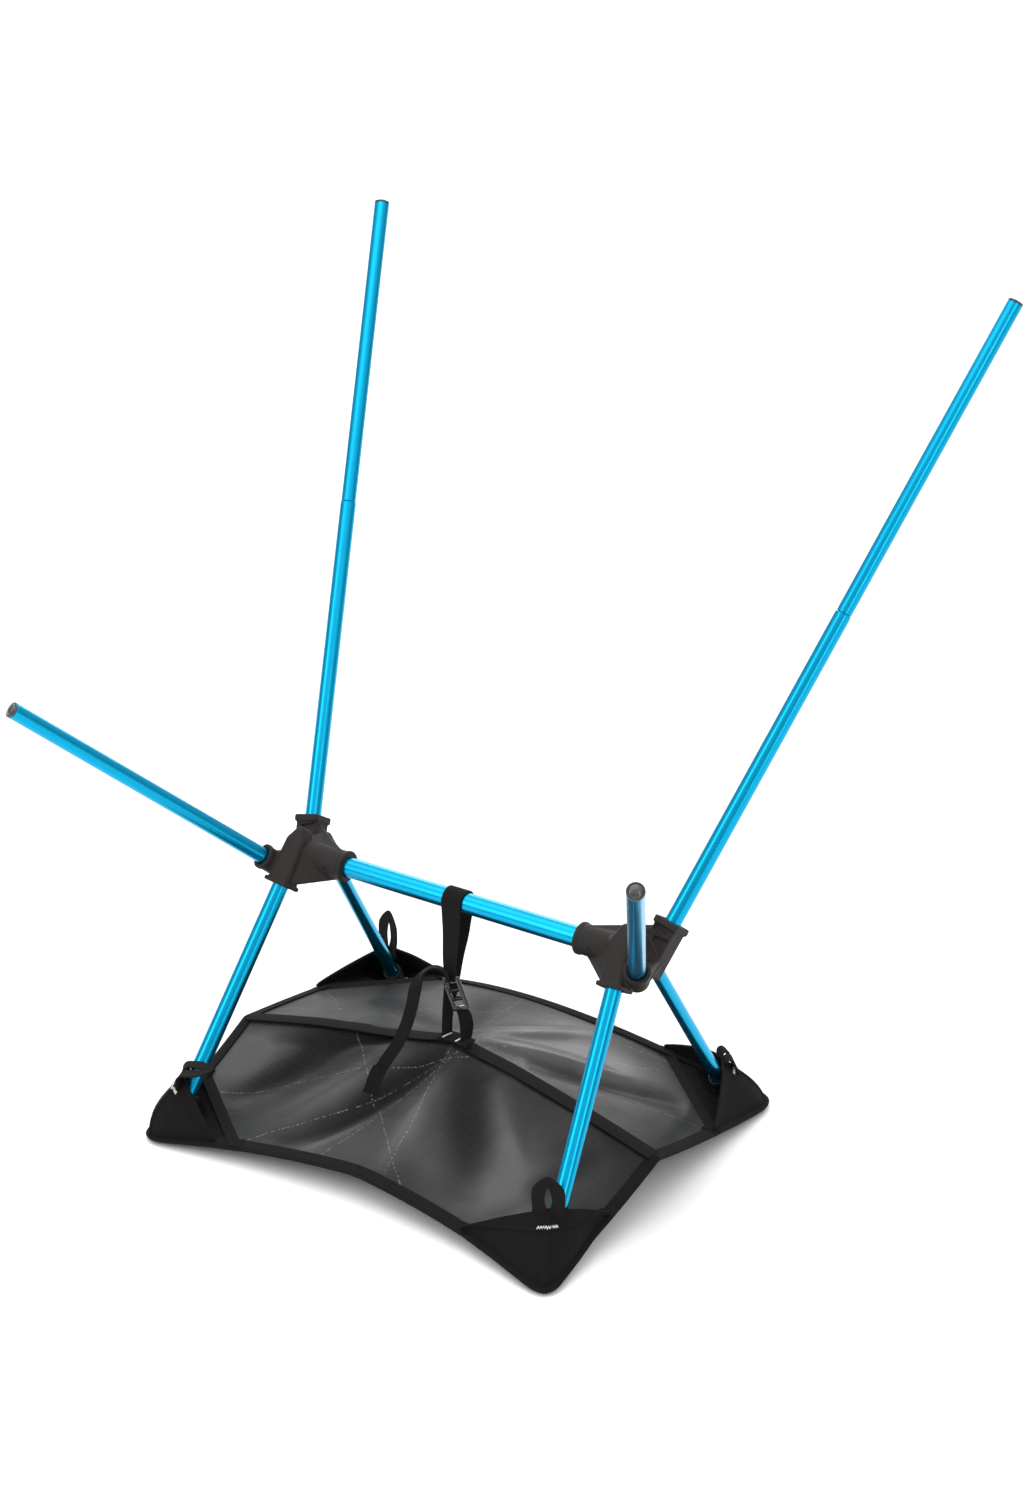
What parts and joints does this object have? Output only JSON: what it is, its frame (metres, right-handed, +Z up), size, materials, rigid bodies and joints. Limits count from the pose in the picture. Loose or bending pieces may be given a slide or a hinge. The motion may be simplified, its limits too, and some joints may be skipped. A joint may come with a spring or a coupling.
{
  "type": "backpacking chair frame",
  "caption": "Collapsible pole frame of a low camp chair: two moulded hubs on a crossbar, shock-corded poles and legs, and a tied-up ground sheet with foot pockets.",
  "frame": {"origin": "on the ground under the middle of the frame's width and depth", "axes": "+Z up, -Y towards the front of the chair, +X to the right seen from the front; the crossbar lies along X"},
  "size_m": [0.5768, 0.4952, 0.6275],
  "materials": {
    "blue_anodised": "satin anodised, bright cyan blue",
    "hub_plastic": "moulded nylon, fine satin texture",
    "foot_rubber": "matt moulded rubber",
    "plug_plastic": "smooth, slightly glossy",
    "pin_steel": "plated",
    "shock_cord": "braided elastic cord",
    "ripstop": "coated fine ripstop, soft sheen",
    "webbing": "woven polyester tape and cloth",
    "buckle_gloss": "polished acetal"
  },
  "bodies": {
    "root": {"crossbar": "blue_anodised", "hub_right": "hub_plastic", "hub_pin_right": "pin_steel", "hub_left": "hub_plastic", "hub_pin_left": "pin_steel", "sheet_front_panel": "ripstop", "sheet_rear_panel": "ripstop", "middle_band": "webbing", "front_binding": "webbing", "rear_binding": "webbing", "side_binding_right": "webbing", "side_binding_left": "webbing", "tie_strap": "webbing", "buckle_strap": "webbing", "strap_anchor": "webbing", "strap_tail": "webbing", "buckle": "buckle_gloss", "shock_cord_back_right": "shock_cord", "shock_cord_front_right": "shock_cord", "shock_cord_front_leg_right": "shock_cord", "shock_cord_rear_leg_right": "shock_cord", "shock_cord_back_left": "shock_cord", "shock_cord_front_left": "shock_cord", "shock_cord_front_leg_left": "shock_cord", "shock_cord_rear_leg_left": "shock_cord"},
    "back_lower_right": {"back_lower_right": "blue_anodised", "shock_cord_back_joint_right": "shock_cord"},
    "back_upper_right": {"back_upper_right": "blue_anodised", "back_ferrule_right": "blue_anodised", "back_tip_plug_right": "plug_plastic"},
    "front_pole_right": {"front_pole_right": "blue_anodised", "front_tip_plug_right": "plug_plastic"},
    "front_leg_right": {"front_leg_right": "blue_anodised", "front_leg_cap_right": "foot_rubber", "front_pocket_right": "webbing", "front_pull_loop_right": "webbing"},
    "rear_leg_right": {"rear_leg_right": "blue_anodised", "rear_leg_cap_right": "foot_rubber", "rear_pocket_right": "webbing", "rear_pull_loop_right": "webbing"},
    "back_lower_left": {"back_lower_left": "blue_anodised", "shock_cord_back_joint_left": "shock_cord"},
    "back_upper_left": {"back_upper_left": "blue_anodised", "back_ferrule_left": "blue_anodised", "back_tip_plug_left": "plug_plastic"},
    "front_pole_left": {"front_pole_left": "blue_anodised", "front_tip_plug_left": "plug_plastic"},
    "front_leg_left": {"front_leg_left": "blue_anodised", "front_leg_cap_left": "foot_rubber", "front_pocket_left": "webbing", "front_pull_loop_left": "webbing"},
    "rear_leg_left": {"rear_leg_left": "blue_anodised", "rear_leg_cap_left": "foot_rubber", "rear_pocket_left": "webbing", "rear_pull_loop_left": "webbing"}
  },
  "joints": [
    {"name": "back_lower_pull_right", "type": "slide", "parent": "root", "child": "back_lower_right", "axis": [0.2299, 0.5177, 0.8241], "range_m": [0, 0.028], "stiffness_N_per_m": 120, "springref_m": -0.05},
    {"name": "back_upper_pull_right", "type": "slide", "parent": "back_lower_right", "child": "back_upper_right", "axis": [0.2299, 0.5177, 0.8241], "range_m": [0, 0.028], "stiffness_N_per_m": 120, "springref_m": -0.05},
    {"name": "front_pole_pull_right", "type": "slide", "parent": "root", "child": "front_pole_right", "axis": [0.392, -0.6627, 0.638], "range_m": [0, 0.028], "stiffness_N_per_m": 120, "springref_m": -0.05},
    {"name": "front_leg_pull_right", "type": "slide", "parent": "root", "child": "front_leg_right", "axis": [0.0907, -0.5827, -0.8076], "range_m": [0, 0.028], "stiffness_N_per_m": 120, "springref_m": -0.05},
    {"name": "rear_leg_pull_right", "type": "slide", "parent": "root", "child": "rear_leg_right", "axis": [0.0664, 0.5378, -0.8404], "range_m": [0, 0.028], "stiffness_N_per_m": 120, "springref_m": -0.05},
    {"name": "back_lower_pull_left", "type": "slide", "parent": "root", "child": "back_lower_left", "axis": [-0.2299, 0.5177, 0.8241], "range_m": [0, 0.028], "stiffness_N_per_m": 120, "springref_m": -0.05},
    {"name": "back_upper_pull_left", "type": "slide", "parent": "back_lower_left", "child": "back_upper_left", "axis": [-0.2299, 0.5177, 0.8241], "range_m": [0, 0.028], "stiffness_N_per_m": 120, "springref_m": -0.05},
    {"name": "front_pole_pull_left", "type": "slide", "parent": "root", "child": "front_pole_left", "axis": [-0.392, -0.6627, 0.638], "range_m": [0, 0.028], "stiffness_N_per_m": 120, "springref_m": -0.05},
    {"name": "front_leg_pull_left", "type": "slide", "parent": "root", "child": "front_leg_left", "axis": [-0.0907, -0.5827, -0.8076], "range_m": [0, 0.028], "stiffness_N_per_m": 120, "springref_m": -0.05},
    {"name": "rear_leg_pull_left", "type": "slide", "parent": "root", "child": "rear_leg_left", "axis": [-0.0664, 0.5378, -0.8404], "range_m": [0, 0.028], "stiffness_N_per_m": 120, "springref_m": -0.05}
  ]
}
